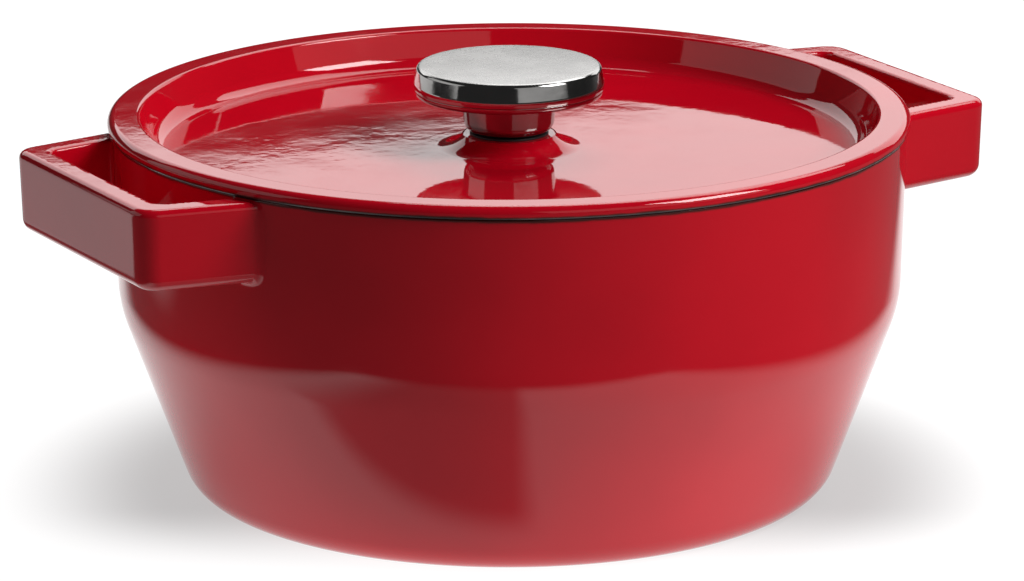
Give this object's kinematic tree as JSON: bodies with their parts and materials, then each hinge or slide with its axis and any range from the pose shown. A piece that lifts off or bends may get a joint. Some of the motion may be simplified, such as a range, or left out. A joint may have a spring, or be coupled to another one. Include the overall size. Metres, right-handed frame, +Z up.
{
  "type": "covered casserole dish",
  "caption": "Round enamelled cast-iron casserole with a tapered base, two squared loop handles and a recessed lift-off lid with a flat round steel knob.",
  "frame": {"origin": "centre of the pot's base, on the surface that the pot stands on", "axes": "+Z up through the middle of the knob; the two loop handles lie along +X and -X"},
  "size_m": [0.2998, 0.252, 0.1354],
  "materials": {
    "red_enamel": "glossy red vitreous enamel outside and on the lid's top, satin black enamel inside",
    "polished_steel": "polished stainless steel",
    "black_gasket": "heat-proof silicone",
    "plain_steel": "plain stainless fasteners"
  },
  "bodies": {
    "pot": {"pot": "red_enamel"},
    "lid": {"lid": "red_enamel", "knob_gasket": "black_gasket", "knob_body": "polished_steel", "knob_cap": "polished_steel", "knob_insert": "plain_steel", "knob_screw": "plain_steel", "flat_washer": "plain_steel", "spring_washer": "plain_steel"}
  },
  "joints": [
    {"name": "lid_lift", "type": "slide", "parent": "pot", "child": "lid", "axis": [0, 0, 1], "range_m": [0, 0.12]}
  ]
}
